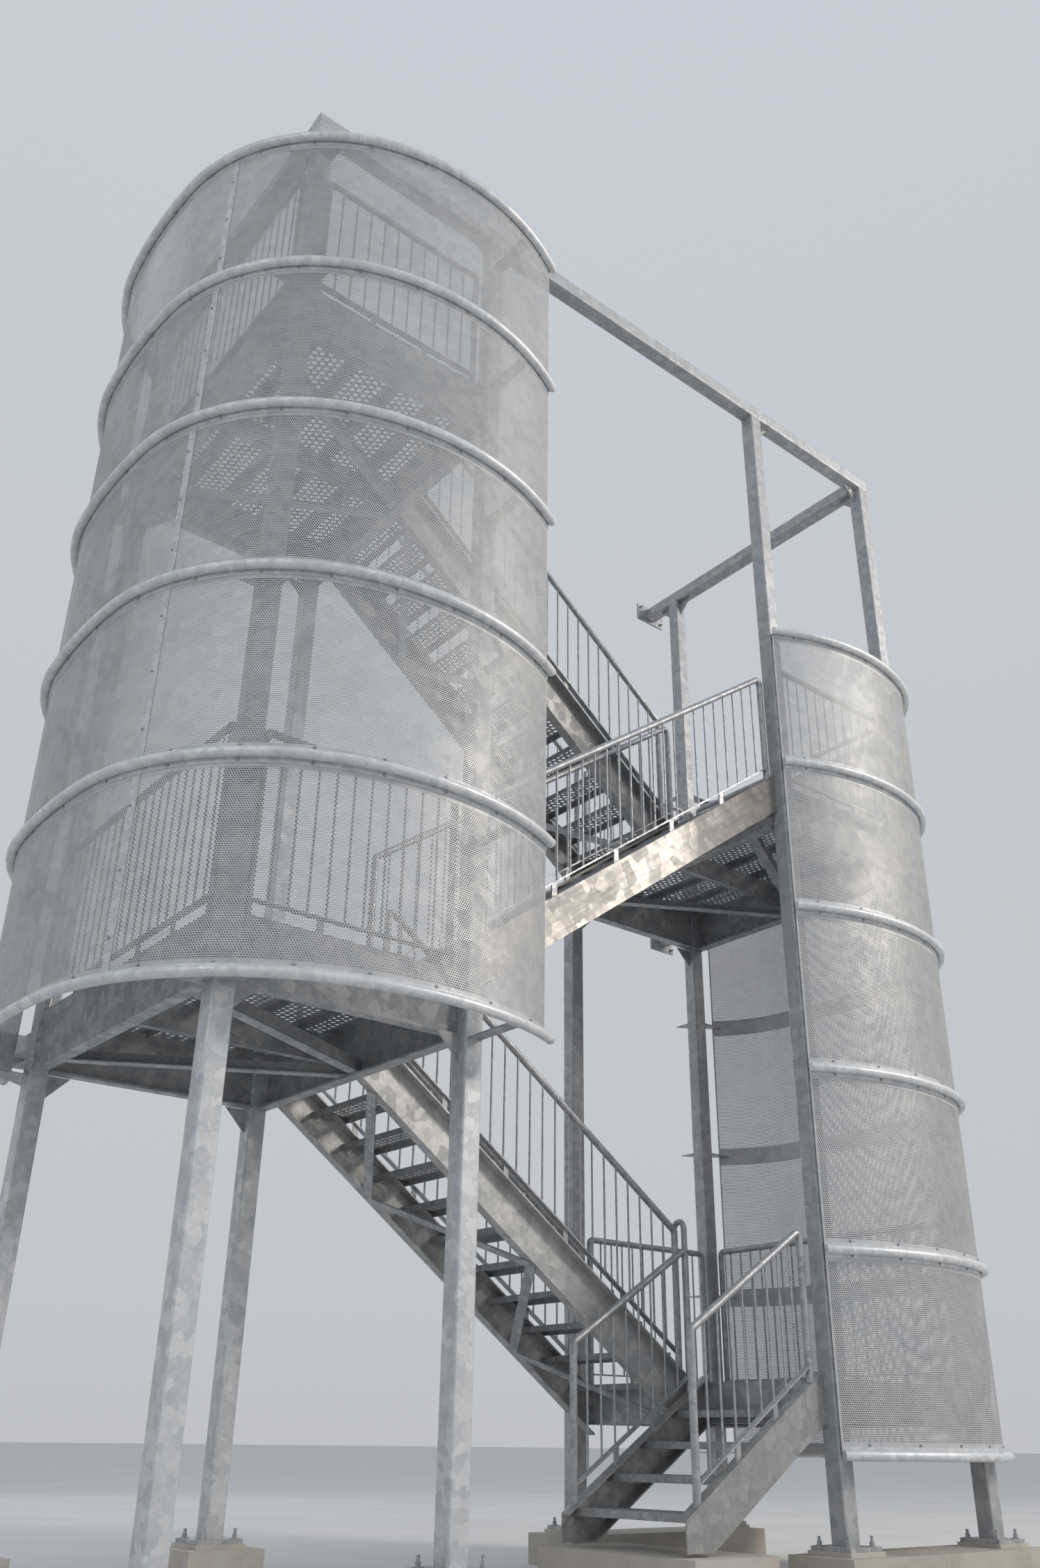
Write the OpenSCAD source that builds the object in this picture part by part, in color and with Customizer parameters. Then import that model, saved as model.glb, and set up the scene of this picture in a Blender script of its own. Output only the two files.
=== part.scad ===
// Fire escape stair tower: two groups of square tube posts joined by four straight
// flights in two lanes, with landings, guards and curved screens round each group.
// Lengths in millimetres. X runs along the wall, Y towards the wall, Z is up.

/* [Levels] */
// height of one step
riser = 187;
// [170:1:195]
// number of steps in the first flight
steps1 = 5;
// [3:1:8]
// number of steps in the second flight
steps2 = 11;
// [8:1:14]
// number of steps in the third flight
steps3 = 12;
// [8:1:14]
// number of steps in the fourth flight
steps4 = 12;
// [8:1:14]
// going of the first flight
going1 = 296;
// [240:1:330]

/* [Posts] */
// side of the square tube posts
post = 127;
// [90:1:160]
// corner radius of the square tubes
post_r = 14;
// [6:1:25]
// depth of the tower from the outer face of the front posts to the inner face of the back posts
depth = 2627;
// [2200:1:3000]
// width of each post group along the wall
bay = 1677;
// [1400:1:2000]
// clear length of the flights between the two post groups
run = 2853;
// [2400:1:3300]
// distance from the outer face of the front posts to the wall
wall_y = 3000;
// [2800:1:3400]
// underside of the top beam
beam_z = 8950;
// [8700:1:9200]

/* [Flights] */
// outer face of the outer stringer in the front lane
lane1_a = 79;
// [60:1:120]
// inner face of the back stringer in the front lane
lane1_b = 1150;
// [1100:1:1200]
// outer face of the front stringer in the back lane
lane2_a = 1258;
// [1220:1:1300]
// outer face of the back stringer in the back lane
lane2_b = 2350;
// [2300:1:2450]
// stringer depth square to the slope
str_d = 252;
// [220:1:320]
// front lane: stringer edge above the line of the nosings, measured upright
up_front = 40;
// [10:1:90]
// back lane: stringer edge below the line of the nosings, measured upright
down_back = 70;
// [0:1:100]
// back lane: distance from the landing edge to the first riser
start_back = 200;
// [0:1:260]
// stringer plate thickness
str_t = 10;
// [8:1:14]
// stringer flange width
str_f = 80;
// [40:1:90]
// tread plate thickness
tread_t = 5;
// [4:1:8]

/* [Landings] */
// depth of the landing beams
beam_d = 375;
// [250:1:400]
// landing deck plate thickness
deck_t = 6;
// [4:1:8]
// width of one deck plank
plank = 347;
// [200:1:400]
// width of the deck plank at the outer side
plank_end = 356;
// [150:1:400]
// inset of the side beams and decks from the outer faces of the posts
side_in = 8;
// [0:1:80]

/* [Guards] */
// radius of the rail tube
rail_r = 24.15;
// [20:0.05:30]
// radius of the upright bars
bar_r = 7;
// [5:0.5:10]
// spacing of the upright bars
bar_pitch = 115;
// [90:1:130]
// rail height above a landing
guard_h = 1100;
// [1000:1:1200]
// rail height above a landing at its outer side
guard_side_h = 1125;
// [1000:1:1200]
// rail height above the edge of the stringer, measured upright
stair_h = 920;
// [850:1:1000]
// width of the flat bar at the foot of the upright bars
toe_w = 46;
// [30:1:48]
// height of the flat bar above the seat of the guard
toe_h = 95;
// [60:1:160]

/* [Screens] */
// radius of the ring pipes
ring_r = 30.15;
// [20:0.05:40]
// height between ring pipes
ring_pitch = 1215;
// [1100:1:1300]
// centre height of the lowest ring round the high group
ring_low_a = 2582;
// [2400:1:2800]
// centre height of the lowest ring round the low group
ring_low_b = 492;
// [300:1:700]
// height of the flat band behind each ring
band_h = 98;
// [70:1:120]
// thickness of the flat band
band_t = 6;
// [4:1:10]
// thickness of the screen sheet
sheet_t = 3;
// [2:0.5:5]

/* [Feet] */
// side of the base plates
base_w = 300;
// [220:1:360]
// thickness of the base plates and of the grout under them
base_t = 25;
// [15:1:40]
// depth of the plinths below the grout
plinth_h = 200;
// [100:1:400]

/* [Hidden] */
$fn = 48;
w = post;
L1 = riser * steps1;
L2 = L1 + riser * steps2;
L3 = L2 + riser * steps3;
L4 = L3 + riser * steps4;
xl1 = bay;               // face of the left group where flights end
xr0 = bay + run;         // face of the right group where flights end
xr1 = xr0 + bay;
yin = depth - w;
top_z = beam_z + w;
plinth_top = -2 * base_t;
plinth_bot = plinth_top - plinth_h;
// screen plan arcs: centre x, centre y, radius, start angle, end angle
fa = [1054, 1356];
ra = 1857; rb = 1487; rc = 4870;
ca = [fa[0] + (ra - rb) * cos(251), fa[1] + (ra - rb) * sin(251)];
sa = [ca[0] - (rc - rb) * cos(185.5), ca[1] - (rc - rb) * sin(185.5)];
seam = 204;
left_front = [[fa[0], fa[1], ra, 251, 298.7], [ca[0], ca[1], rb, seam, 251]];
left_side = [[ca[0], ca[1], rb, 185.5, seam], [sa[0], sa[1], rc, 174.5, 185.5],
             [ca[0], 2 * sa[1] - ca[1], rb, 132.2, 174.5]];
fb = [5440, 1536];
rd = 1836; re = 1000; rf = 6970;
cb = [fb[0] + (rd - re) * cos(288), fb[1] + (rd - re) * sin(288)];
sb = [cb[0] - (rf - re) * cos(-5.5), cb[1] - (rf - re) * sin(-5.5)];
right_front = [[fb[0], fb[1], rd, 239.7, 288], [cb[0], cb[1], re, 288, 325]];
right_side = [[cb[0], cb[1], re, 325, 354.5], [sb[0], sb[1], rf, -5.5, 5.5],
              [cb[0], 2 * sb[1] - cb[1], re, 5.5, 45.7]];
in1 = ring_r + band_t;             // ring centre line to the back of the band
in2 = ring_r + band_t + sheet_t;   // ring centre line to the back of the sheet
x_min = sa[0] - rc - ring_r;
x_max = sb[0] + rf + ring_r;
y_min = fa[1] - ra - ring_r;
ox = (x_min + x_max) / 2;
oy = (y_min + wall_y) / 2;
oz = plinth_bot;
going3 = run / (steps3 - 1);
going2 = (run - start_back) / (steps2 - 1);
going4 = (run - start_back) / (steps4 - 1);

// ---------- small helpers ----------
module at_frame() { translate([-ox, -oy, -oz]) children(); }

// square tube bar along z with rounded edges
module tube_z(x, y, z0, z1) {
  translate([x, y, z0]) {
    translate([post_r, 0, 0]) cube([w - 2 * post_r, w, z1 - z0]);
    translate([0, post_r, 0]) cube([w, w - 2 * post_r, z1 - z0]);
    for (i = [0, 1]) for (j = [0, 1])
      translate([post_r + i * (w - 2 * post_r), post_r + j * (w - 2 * post_r), 0]) cylinder(r = post_r, h = z1 - z0);
  }
}
module tube_x(x0, x1, y, z) { translate([x0, y + w, z]) rotate([90, 0, 90]) mirror([1, 0, 0]) tube_z(0, 0, 0, x1 - x0); }
module tube_y(x, y0, y1, z) { translate([x, y1, z]) rotate([90, 0, 0]) tube_z(0, 0, 0, y1 - y0); }

// round bar in the local plane from p to q
module bar2(p, q, r) {
  d = q - p;
  translate([p[0], p[1], 0]) rotate([0, 0, atan2(d[1], d[0])]) rotate([0, 90, 0]) cylinder(r = r, h = norm(d));
}
function unit2(v) = v / norm(v);
function ang(v) = atan2(v[1], v[0]);
function turn(a, b) = atan2(a[0] * b[1] - a[1] * b[0], a[0] * b[0] + a[1] * b[1]);
// bent round tube through points of the local plane
module bent(pts, br, r) {
  n = len(pts);
  for (i = [0:n - 2]) {
    d = unit2(pts[i + 1] - pts[i]);
    a = i > 0 ? br * tan(abs(turn(unit2(pts[i] - pts[i - 1]), d)) / 2) - 5 : 0;
    b = i < n - 2 ? br * tan(abs(turn(d, unit2(pts[i + 2] - pts[i + 1]))) / 2) - 5 : 0;
    bar2(pts[i] + d * a, pts[i + 1] - d * b, r);
  }
  for (i = [1:n - 2]) {
    d = unit2(pts[i] - pts[i - 1]);
    t = turn(d, unit2(pts[i + 1] - pts[i]));
    s = t < 0 ? -1 : 1;
    start = pts[i] - d * br * tan(abs(t) / 2);
    c = start + [-d[1], d[0]] * br * s;
    translate([c[0], c[1], 0]) rotate([0, 0, ang(start - c) + min(t, 0)])
      rotate_extrude(angle = abs(t)) translate([br, 0]) circle(r = r + 0.45);
  }
}
// guard panel in the local plane: end posts at u0 and u1 standing on the line a + s u - foot,
// rail on the line a + s u, flat bar below it, upright bars between, upright plates as feet;
// drop makes the first post longer
module panel(u0, u1, a, s, foot, drop = 0) {
  top0 = a + s * u0; top1 = a + s * u1;
  difference() {
    bent([[u0, top0 - foot - 60 - drop], [u0, top0], [u1, top1], [u1, top1 - foot - 60]], 30, rail_r);
    translate([0, 0, -60]) linear_extrude(height = 120)
      polygon(concat(drop > 0
                       ? [[u0 - 60, top0 - foot - drop], [u0 + 60, top0 - foot - drop], [u0 + 60, a + s * (u0 + 60) - foot]]
                       : [[u0 - 60, a + s * (u0 - 60) - foot]],
                     [[u1 + 60, a + s * (u1 + 60) - foot],
                      [u1 + 60, min(top0, top1) - foot - 300 - drop], [u0 - 60, min(top0, top1) - foot - 300 - drop]]));
  }
  d = [u1 - u0, top1 - top0];
  translate([u0, top0 - foot + toe_h, -toe_w / 2]) rotate([0, 0, ang(d)]) translate([0, -5, 0]) cube([norm(d), 10, toe_w]);
  n = round((u1 - u0) / bar_pitch);
  st = (u1 - u0) / n;
  for (i = [1:n - 1])
    bar2([u0 + i * st, top0 + s * i * st - foot + toe_h], [u0 + i * st, top0 + s * i * st], bar_r);
  for (k = (u1 - u0 > 1600) ? [0.2, 0.4, 0.6, 0.8] : [0.34, 0.67]) let (u = u0 + (u1 - u0) * k)
    translate([0, 0, -6]) linear_extrude(height = 12)
      polygon([[u - 20, a + s * (u - 20) - foot], [u + 20, a + s * (u + 20) - foot],
               [u + 20, a + s * (u + 20) - foot + toe_h], [u - 20, a + s * (u - 20) - foot + toe_h]]);
}
module in_xz(y) { translate([0, y, 0]) rotate([90, 0, 0]) children(); }
module in_yz(x) { translate([x, 0, 0]) rotate([90, 0, 90]) children(); }

// ---------- posts and feet ----------
module post_at(x, y, z1) { difference() { tube_z(x, y, 0, z1); } }
module posts_left() color("silver") at_frame() {
  tube_z(0, 0, 0, beam_z);
  tube_z(0, yin, 0, beam_z);
  tube_z(bay - w, 0, 0, beam_z);
  tube_z(bay - w, yin, 0, L4 - deck_t);
}
module posts_right() color("silver") at_frame() {
  tube_z(xr0, 0, 0, beam_z);
  tube_z(xr0, yin, 0, L3 - deck_t);
  tube_z(xr1 - w, 0, 0, beam_z);
  tube_z(xr1 - w, yin, 0, beam_z);
}
post_xy = [[0, 0], [0, yin], [bay - w, 0], [bay - w, yin], [xr0, 0], [xr0, yin], [xr1 - w, 0], [xr1 - w, yin]];
module base_plates() color("silver") at_frame()
  for (p = post_xy) translate([p[0] + w / 2 - base_w / 2, p[1] + w / 2 - base_w / 2, -base_t]) cube([base_w, base_w, base_t]);
module grout_pads() color("gray") at_frame()
  for (p = post_xy) translate([p[0] + w / 2 - base_w / 2 - 15, p[1] + w / 2 - base_w / 2 - 15, -2 * base_t])
    cube([base_w + 30, base_w + 30, base_t]);
module plinths_left() color("gray") at_frame()
  for (p = [[0, 0], [0, yin], [bay - w, 0], [bay - w, yin]])
    translate([p[0] + w / 2 - 250, p[1] + w / 2 - 250, plinth_bot]) cube([500, 500, plinth_h]);
module plinth_right() color("gray") at_frame()
  for (y = [0, yin]) translate([xr0 + w / 2 - 250, y + w / 2 - 250, plinth_bot]) cube([bay - w + 500, 500, plinth_h]);
x_foot = xr0 - going1 * (steps1 - 1);
module stair_foot_block() color("gray") at_frame()
  translate([x_foot - 180, lane1_a - 130, plinth_bot]) cube([680, lane1_b - lane1_a + 260, -20 - plinth_bot]);

// ---------- top beam, struts, ties ----------
module top_beam() color("silver") at_frame() tube_x(0, xr1, 0, beam_z);
module wall_struts() color("silver") at_frame() {
  tube_y(0, w, wall_y - 20, beam_z);
  tube_y(xr1 - w, w, wall_y - 20, beam_z);
}
module holed_plate(xc, zc, pw, ph, hx, hz) {
  difference() {
    translate([xc - pw / 2, wall_y - 20, zc - ph / 2]) cube([pw, 20, ph]);
    for (i = [-1, 1]) for (j = [-1, 1])
      translate([xc + i * hx / 2, wall_y + 1, zc + j * hz / 2]) rotate([90, 0, 0]) cylinder(r = 9, h = 22);
  }
}
tie_x = [w / 2, xr1 - w / 2];
module wall_plates() color("silver") at_frame() {
  for (x = tie_x) holed_plate(x, beam_z + w / 2, 380, 200, 300, 120);
  holed_plate(tie_x[0], L2 - 150, 300, 220, 230, 150);
  holed_plate(tie_x[0], L4 - 150, 300, 220, 230, 150);
  holed_plate(tie_x[1], L3 - 150, 300, 220, 230, 150);
}
module landing_ties() color("silver") at_frame() {
  for (t = [[tie_x[0], L2], [tie_x[0], L4], [tie_x[1], L3]])
    translate([t[0] - 50, depth, t[1] - 200]) cube([100, wall_y - 20 - depth, 100]);
}
module knee(px, pz, dx, t = 10, s = 160) {
  // upright triangular plate, corner at px, pz, reaching dx along x and down s
  rotate([90, 0, 0]) linear_extrude(height = t, center = true)
    polygon(dx > 0 ? [[px, pz], [px + s, pz], [px, pz - s]] : [[px, pz], [px, pz - s], [px - s, pz]]);
}
module knee_plates() color("silver") at_frame() {
  // plates under the top beam at the right group's front posts
  for (k = [[xr0 + w, 1], [xr1 - w, -1], [bay - w, -1], [bay, 1], [w, 1]])
    translate([0, w / 2, 0]) knee(k[0], beam_z, k[1]);
  // plates under the struts
  for (x = [0, xr1 - w]) translate([x + w / 2, 0, 0]) rotate([0, 0, 90]) {
    knee(w, beam_z, 1);
    knee(yin, beam_z, -1);
    knee(depth, beam_z, 1);
  }
  // plates under the landing beams
  for (k = [[w, 1, L2], [bay - w, -1, L2], [w, 1, L4], [bay - w, -1, L4]])
    for (y = [w / 2, depth - w / 2]) translate([0, y, 0]) knee(k[0], k[2] - deck_t - beam_d, k[1]);
  for (k = [[xr0 + w, 1, L3], [xr1 - w, -1, L3]])
    for (y = [w / 2, depth - w / 2]) translate([0, y, 0]) knee(k[0], k[2] - deck_t - beam_d, k[1]);
}

// ---------- landings ----------
bt = 12; bf = 85; bft = 15;
// channel along x, web face at y, flanges towards dir
module chan_x(x0, x1, y, dir, z1, d) {
  yy = dir > 0 ? y : y - bt;
  yf = dir > 0 ? y : y - bf;
  translate([x0, yy, z1 - d]) cube([x1 - x0, bt, d]);
  for (z = [z1 - bft, z1 - d]) translate([x0, yf, z]) cube([x1 - x0, bf, bft]);
}
module chan_y(x, y0, y1, dir, z1, d) {
  xx = dir > 0 ? x : x - bt;
  xf = dir > 0 ? x : x - bf;
  translate([xx, y0, z1 - d]) cube([bt, y1 - y0, d]);
  for (z = [z1 - bft, z1 - d]) translate([xf, y0, z]) cube([bf, y1 - y0, bft]);
}
// flat bar in plan from p to q
module flat(p, q, bw, bh) {
  d = q - p;
  translate([p[0], p[1], 0]) rotate([0, 0, ang(d)]) translate([0, -bw / 2, 0]) cube([norm(d), bw, bh]);
}
// x0 is the group's first face, s = 1 when flights leave from its far side
module frame(x0, s, L, d, cross = 1410) {
  z1 = L - deck_t;
  xa = s > 0 ? x0 + side_in : x0;
  xb = s > 0 ? x0 + bay : x0 + bay - side_in;
  chan_x(x0 + w, x0 + bay - w, lane1_a, 1, z1, d);
  chan_x(x0 + w, x0 + bay - w, depth - lane1_a, -1, z1, d);
  side_beam(xa, 1, z1, d);
  side_beam(xb, -1, z1, d);
  // cross channel under the deck
  jd = d < 300 ? 120 : 180;
  translate([xa + bt + 1, cross, z1 - 46 - jd]) cube([xb - xa - 2 * bt - 2, 8, jd]);
  for (z = [z1 - 56, z1 - 46 - jd]) translate([xa + bt + 1, cross, z]) cube([xb - xa - 2 * bt - 2, 60, 10]);
  // braces in a v on the lower flanges, each an angle bar
  lg = d < 300 ? 50 : 80;
  for (k = [-1, 1]) translate([0, 0, z1 - d + bft + 1]) {
    p = [xa + 46, depth / 2 + k * 913]; q = [xb - 46, depth / 2 + k * 50];
    flat(p, q, 80, 8);
    v = unit2(q - p);
    translate([p[0], p[1], 0]) rotate([0, 0, ang(v)]) translate([0, k > 0 ? 32 : -40, 0]) cube([norm(q - p), 8, lg]);
  }
}
// beam along y between the posts; its flanges stop short of the front and back beams
module side_beam(x, dir, z1, d) {
  xx = dir > 0 ? x : x - bt;
  xf = dir > 0 ? x : x - bf;
  y0 = lane1_a + bf + 1; y1 = depth - lane1_a - bf - 1;
  translate([xx, w, z1 - d]) cube([bt, yin - w, d]);
  for (z = [z1 - bft, z1 - d]) translate([xf, y0, z]) cube([bf, y1 - y0, bft]);
}
module frame_l1() color("silver") at_frame() frame(xr0, -1, L1, 254);
module frame_l2() color("silver") at_frame() frame(0, 1, L2, beam_d, 1575);
module frame_l3() color("silver") at_frame() frame(xr0, -1, L3, beam_d);
module frame_l4() color("silver") at_frame() frame(0, 1, L4, beam_d);

module deck(x0, s, L) {
  xo = s > 0 ? x0 + side_in : x0 + bay - side_in;   // outer side
  len = bay - side_in;
  n = ceil((len - plank_end) / plank);
  for (i = [0:n]) {
    a = i == 0 ? 0 : plank_end + (i - 1) * plank;
    b = min(len, plank_end + i * plank);
    xa = s > 0 ? xo + a : xo - b;
    pw = b - a;
    difference() {
      union() {
        translate([xa + 1.5, lane1_a, L - deck_t]) cube([pw - 3, depth - 2 * lane1_a, deck_t]);
        if (i != (s > 0 ? 0 : n)) translate([xa + 1.5, lane1_a + bf + 5, L - 50]) cube([4, depth - 2 * lane1_a - 2 * bf - 10, 46]);
        if (i != (s > 0 ? n : 0)) translate([xa + pw - 5.5, lane1_a + bf + 5, L - 50]) cube([4, depth - 2 * lane1_a - 2 * bf - 10, 46]);
      }
      for (px = [x0, x0 + bay - w]) for (py = [0, yin])
        translate([px - 3, py - 3, L - 60]) cube([w + 6, w + 6, 70]);
    }
  }
}
module deck_l1() color("silver") at_frame() deck(xr0, -1, L1);
module deck_l2() color("silver") at_frame() deck(0, 1, L2);
module deck_l3() color("silver") at_frame() deck(xr0, -1, L3);
module deck_l4() color("silver") at_frame() deck(0, 1, L4);

// ---------- flights ----------
// local x is the distance from the first riser along the run; xs and dir place it
function fx(xs, dir, u) = xs + dir * u;
module side(pts, xs, dir, y, t) {
  translate([0, y + t, 0]) rotate([90, 0, 0]) linear_extrude(height = t)
    polygon([for (p = pts) [fx(xs, dir, p[0]), p[1]]]);
}
// height of the nosing line at u = 0
function nose0(g, z0, u1) = z0 + riser - u1 * riser / g;
// stringer outline: sloped band cut upright at both ends and level at the foot
function band(s, a, up, dn, ua, ub, zlow) =
  (a + s * ua - dn < zlow)
  ? [[ua, max(zlow, a + s * ua + up)], [ub, a + s * ub + up], [ub, a + s * ub - dn], [(zlow - a + dn) / s, zlow], [ua, zlow]]
  : [[ua, a + s * ua + up], [ub, a + s * ub + up], [ub, a + s * ub - dn], [ua, a + s * ua - dn]];
// two stringers with webs outside; out turns the upper flange of the first one outwards
module stringer_pair(g, z0, xs, dir, ya, yb, u1, up, ua, ub, zlow, out = false) {
  s = riser / g;
  a = nose0(g, z0, u1);
  c = cos(atan(s));
  dn = str_d / c - up;
  ft = 10 / c;
  for (q = [[ya, 1], [yb, -1]]) {
    y = q[1] > 0 ? q[0] : q[0] - str_t;
    yf = q[1] > 0 ? q[0] : q[0] - str_f;
    yu = out && q[1] > 0 ? q[0] + str_t - str_f : yf;
    side(band(s, a, up, dn, ua, ub, zlow), xs, dir, y, str_t);
    side(band(s, a, up, ft - up, ua, ub, zlow), xs, dir, yu, str_f);
    side(band(s, a, ft - dn, dn, max(ua, (zlow - a + dn) / s), ub, -9999), xs, dir, yf, str_f);
  }
}
module tread_set(n, g, z0, xs, dir, ya, yb, u1) {
  for (i = [(u1 > 0 ? -1 : 0):n - 2]) {
    z = z0 + riser * (i + 1);
    u = i < 0 ? 26 : u1 + g * i;
    ue = i < 0 ? u1 : u + g;
    side([[u - 22, z - 42], [u - 22, z], [ue - 4, z], [ue - 4, z - 42], [ue - 9, z - 42],
          [ue - 9, z - tread_t], [u - 17, z - tread_t], [u - 17, z - 42]], xs, dir, ya + str_t, yb - ya - 2 * str_t);
  }
}
module stringers_f1() color("silver") at_frame() stringer_pair(going1, 0, x_foot, 1, lane1_a, lane1_b, 0, up_front, -102, going1 * (steps1 - 1), 0);
module stringers_f2() color("silver") at_frame() stringer_pair(going2, L1, xr0, -1, lane2_a, lane2_b, start_back, -down_back, 0, run, -9999, true);
module stringers_f3() color("silver") at_frame() stringer_pair(going3, L2, bay, 1, lane1_a, lane1_b, 0, up_front, 0, run, -9999);
module stringers_f4() color("silver") at_frame() stringer_pair(going4, L3, xr0, -1, lane2_a, lane2_b, start_back, -down_back, 0, run, -9999, true);
module treads_f1() color("silver") at_frame() tread_set(steps1, going1, 0, x_foot, 1, lane1_a, lane1_b, 0);
module treads_f2() color("silver") at_frame() tread_set(steps2, going2, L1, xr0, -1, lane2_a, lane2_b, start_back);
module treads_f3() color("silver") at_frame() tread_set(steps3, going3, L2, bay, 1, lane1_a, lane1_b, 0);
module treads_f4() color("silver") at_frame() tread_set(steps4, going4, L3, xr0, -1, lane2_a, lane2_b, start_back);

// zigzag bars under the flights, lying on the lower flanges
module zigzag(g, z0, xs, dir, ya, yb, u1, up, m) {
  sl = atan(riser / g);
  c = cos(sl);
  dn = str_d / c - up;
  ll = run / c;
  st = (ll - 240) / m;
  translate([fx(xs, dir, 0), 0, nose0(g, z0, u1) - dn]) rotate([0, dir > 0 ? -sl : -180 + sl, 0]) translate([0, 0, dir > 0 ? -10 : 0])
    for (i = [0:m - 1]) {
      y0 = i % 2 == 0 ? ya + 38 : yb - 38;
      y1 = i % 2 == 0 ? yb - 38 : ya + 38;
      flat([120 + i * st, y0], [120 + (i + 1) * st, y1], 68, 10);
    }
}
module soffit_bracing() color("silver") at_frame() {
  zigzag(going2, L1, xr0, -1, lane2_a, lane2_b, start_back, -down_back, 4);
  zigzag(going3, L2, bay, 1, lane1_a, lane1_b, 0, up_front, 4);
  zigzag(going4, L3, xr0, -1, lane2_a, lane2_b, start_back, -down_back, 4);
}

// ---------- guards ----------
module flight_guard(g, z0, xs, dir, y, u1, up, ua, ub, drop = 0) {
  s = riser / g;
  v0 = fx(xs, dir, dir > 0 ? ua : ub);
  v1 = fx(xs, dir, dir > 0 ? ub : ua);
  in_xz(y) panel(v0, v1, nose0(g, z0, u1) + up + stair_h - s * dir * xs, s * dir, stair_h, drop);
}
gy1 = lane1_a + 30;
f3_in_a = -105;
gy2 = lane1_b - 30;
gy3 = lane2_a - 40;
gy4 = lane2_b - 30;
module guard_f1_outer() color("silver") at_frame() flight_guard(going1, 0, x_foot, 1, gy1, 0, up_front, 18, 1085);
module guard_f1_inner() color("silver") at_frame() flight_guard(going1, 0, x_foot, 1, gy2, 0, up_front, -26, 1034);
module guard_f2_outer() color("silver") at_frame() flight_guard(going2, L1, xr0, -1, gy3, start_back, -down_back, 150, run - 90);
module guard_f2_inner() color("silver") at_frame() flight_guard(going2, L1, xr0, -1, gy4, start_back, -down_back, 100, run - 90);
module guard_f3_outer() color("silver") at_frame() flight_guard(going3, L2, bay, 1, gy1, 0, up_front, 70, 2795);
module guard_f3_inner() color("silver") at_frame() flight_guard(going3, L2, bay, 1, gy2, 0, up_front, f3_in_a, 2745, nose0(going3, L2, 0) + up_front + riser / going3 * f3_in_a - L2);
module guard_f4_outer() color("silver") at_frame() flight_guard(going4, L3, xr0, -1, gy3, start_back, -down_back, 120, run - 90);
module guard_f4_inner() color("silver") at_frame() flight_guard(going4, L3, xr0, -1, gy4, start_back, -down_back, 100, run - 90);

// level panels on the landing decks: front and back along x, ends along y
module level_x(x0, x1, y, L) { in_xz(y) panel(x0, x1, L + guard_h, 0, guard_h); }
module level_y(x, y0, y1, L) { in_yz(x) panel(y0, y1, L + guard_side_h, 0, guard_side_h); }
ge = lane1_a + 30;
gs = side_in + 14;
module guards_l1() color("silver") at_frame() {
  level_x(xr0 + w + 60, xr1 - w - 60, depth - ge, L1);
  level_y(xr1 - gs, w + 60, yin - 60, L1);
}
module guards_l2() color("silver") at_frame() {
  level_x(w + 60, bay - w - 60, ge, L2);
  level_y(gs, w + 60, yin - 60, L2);
}
module guards_l3() color("silver") at_frame() {
  level_x(xr0 + w + 60, xr1 - w - 60, ge, L3);
  level_x(xr0 + w + 60, xr1 - w - 60, depth - ge, L3);
  level_y(xr1 - gs, w + 60, yin - 60, L3);
}
module guards_l4() color("silver") at_frame() {
  level_x(w + 60, bay - w - 60, ge, L4);
  level_y(gs, w + 60, yin - 60, L4);
}

// ---------- screens ----------
// joint gap of an arc as an angle
function jg(a) = 0.3 / a[2] * 180 / PI;
module arc_plate(a, rin, rout, z0, z1) {
  translate([a[0], a[1], z0]) rotate([0, 0, a[3] + jg(a)]) rotate_extrude(angle = a[4] - a[3] - 2 * jg(a), $fn = 720)
    translate([a[2] + rin, 0]) square([rout - rin, z1 - z0]);
}
module arc_pipe(a, z) {
  translate([a[0], a[1], z]) rotate([0, 0, a[3] + jg(a)]) rotate_extrude(angle = a[4] - a[3] - 2 * jg(a), $fn = 720)
    translate([a[2], 0]) circle(r = ring_r, $fn = 40);
}
module sheet(arcs, zl) {
  for (a = arcs) arc_plate(a, -in2, -in1, zl - 5, zl + 5 * ring_pitch + 5);
}
module rings(arcs, zl) {
  for (k = [0:5]) for (a = arcs) {
    arc_pipe(a, zl + k * ring_pitch);
    arc_plate(a, -in1, -ring_r + 1, zl + k * ring_pitch - (k == 0 ? 5 : band_h / 2), zl + k * ring_pitch + (k == 5 ? 5 : band_h / 2));
  }
}
module screen_left_front() color("silver") at_frame() sheet(left_front, ring_low_a);
module screen_left_side() color("silver") at_frame() sheet(left_side, ring_low_a);
module screen_right_front() color("silver") at_frame() sheet(right_front, ring_low_b);
module screen_right_side() color("silver") at_frame() sheet(right_side, ring_low_b);
module rings_left() color("silver") at_frame() rings(concat(left_front, left_side), ring_low_a);
module rings_right() color("silver") at_frame() rings(concat(right_front, right_side), ring_low_b);
module strip_at(c, r, a, zl) {
  for (k = [0:4]) translate([c[0], c[1], zl + k * ring_pitch + band_h / 2 + 1]) rotate([0, 0, a - 1])
    rotate_extrude(angle = 2) translate([r - in1, 0]) square([5, ring_pitch - band_h - 2]);
}
module seam_strips() color("silver") at_frame() {
  strip_at(ca, rb, seam, ring_low_a);
  strip_at(cb, re, 325, ring_low_b);
}
module disc(c, r, z) { translate([c[0], c[1], z]) cylinder(r = r, h = 8, $fn = 1440); }
module plate_at(pts, z) { translate([0, 0, z]) linear_extrude(height = 8) polygon(pts); }
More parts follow.
